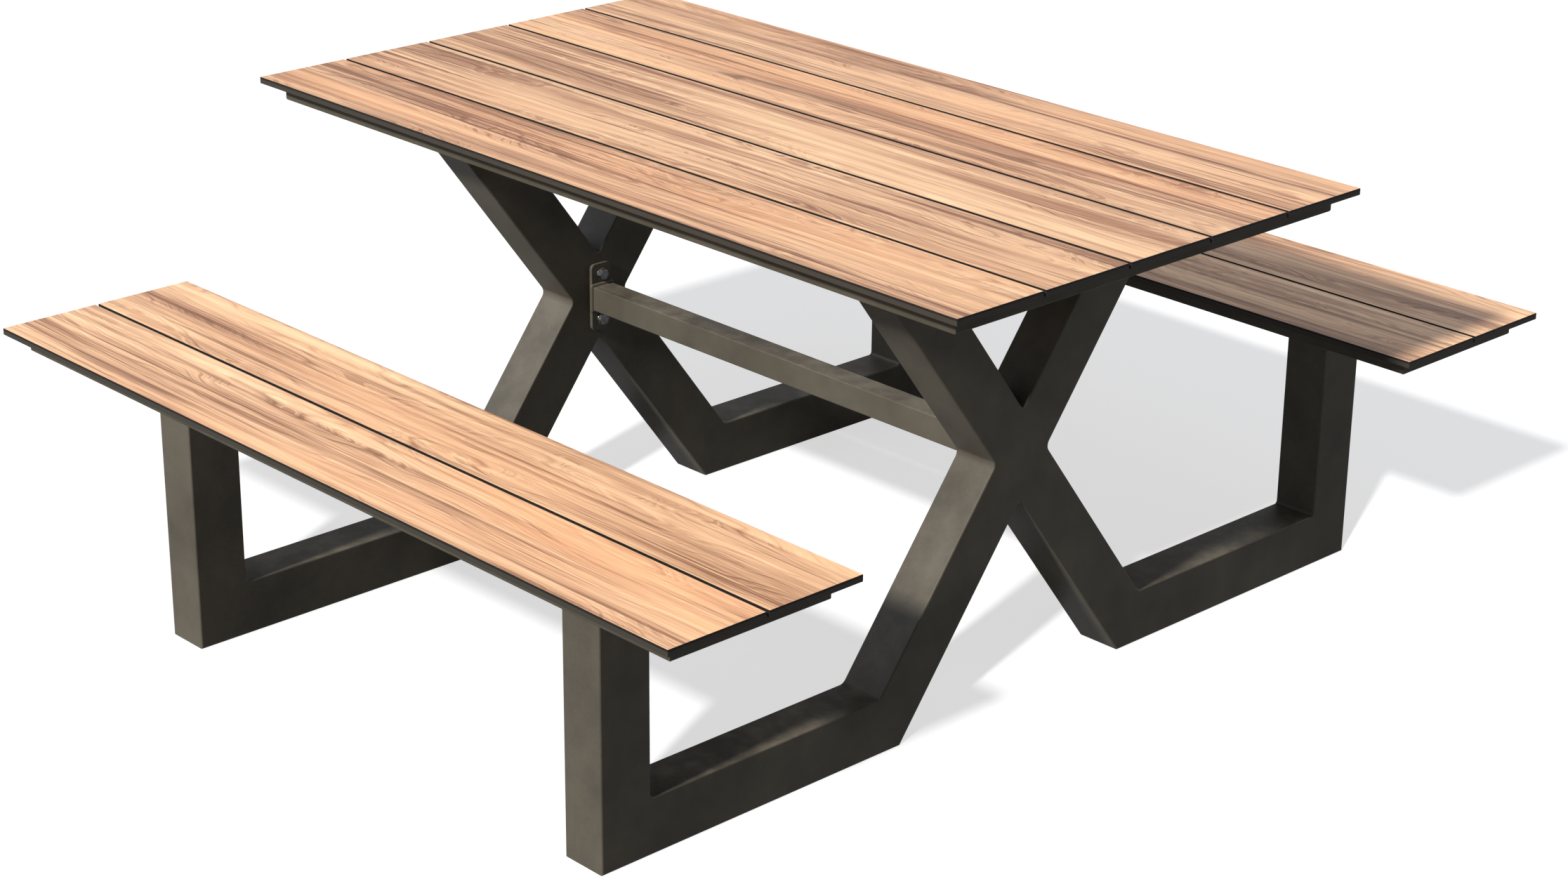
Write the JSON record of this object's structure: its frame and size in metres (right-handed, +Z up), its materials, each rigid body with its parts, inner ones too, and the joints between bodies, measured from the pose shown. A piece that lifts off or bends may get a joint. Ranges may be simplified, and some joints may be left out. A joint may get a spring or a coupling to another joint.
{
  "type": "picnic table",
  "caption": "Picnic table with two attached benches, plank decks on tube subframes, and X-shaped tube end frames tied by a cross beam.",
  "frame": {"origin": "on the ground under the middle of the tabletop", "axes": "+X along the planks towards the right end, +Y across them towards the rear bench, +Z up"},
  "size_m": [1.5, 1.781, 0.75],
  "materials": {
    "plank_laminate": "satin wood-grain face on a compact laminate board with near-black edges",
    "frame_coat": "satin fine-texture powder coat, warm anthracite",
    "subframe_coat": "satin fine-texture powder coat, warm anthracite",
    "zinc_fasteners": "bright stainless steel"
  },
  "bodies": {
    "root": {"table_plank_1": "plank_laminate", "table_plank_2": "plank_laminate", "table_plank_3": "plank_laminate", "table_plank_4": "plank_laminate", "table_plank_5": "plank_laminate", "table_front_rail": "subframe_coat", "table_rear_rail": "subframe_coat", "table_left_end_rail": "subframe_coat", "table_right_end_rail": "subframe_coat", "table_left_bearer": "subframe_coat", "table_middle_bearer": "subframe_coat", "table_right_bearer": "subframe_coat", "front_bench_outer_plank": "plank_laminate", "front_bench_inner_plank": "plank_laminate", "front_bench_outer_rail": "subframe_coat", "front_bench_inner_rail": "subframe_coat", "front_bench_left_end_rail": "subframe_coat", "front_bench_right_end_rail": "subframe_coat", "front_bench_left_bearer": "subframe_coat", "front_bench_middle_bearer": "subframe_coat", "front_bench_right_bearer": "subframe_coat", "rear_bench_inner_plank": "plank_laminate", "rear_bench_outer_plank": "plank_laminate", "rear_bench_inner_rail": "subframe_coat", "rear_bench_outer_rail": "subframe_coat", "rear_bench_left_end_rail": "subframe_coat", "rear_bench_right_end_rail": "subframe_coat", "rear_bench_left_bearer": "subframe_coat", "rear_bench_middle_bearer": "subframe_coat", "rear_bench_right_bearer": "subframe_coat", "left_frame_long_bar": "frame_coat", "left_frame_lower_bar": "frame_coat", "left_frame_upper_bar": "frame_coat", "left_frame_front_foot_rail": "frame_coat", "left_frame_rear_foot_rail": "frame_coat", "left_frame_front_post": "frame_coat", "left_frame_rear_post": "frame_coat", "left_frame_welds": "frame_coat", "left_frame_arm_plates": "frame_coat", "left_frame_post_plates": "frame_coat", "right_frame_long_bar": "frame_coat", "right_frame_lower_bar": "frame_coat", "right_frame_upper_bar": "frame_coat", "right_frame_front_foot_rail": "frame_coat", "right_frame_rear_foot_rail": "frame_coat", "right_frame_front_post": "frame_coat", "right_frame_rear_post": "frame_coat", "right_frame_welds": "frame_coat", "right_frame_arm_plates": "frame_coat", "right_frame_post_plates": "frame_coat", "cross_beam": "frame_coat", "beam_left_plate": "frame_coat", "beam_right_plate": "frame_coat", "beam_bolts": "zinc_fasteners", "beam_washers": "zinc_fasteners", "beam_rivet_nuts": "zinc_fasteners", "deck_bolts": "zinc_fasteners", "deck_rivet_nuts": "zinc_fasteners", "plank_screws": "zinc_fasteners"}
  },
  "joints": []
}
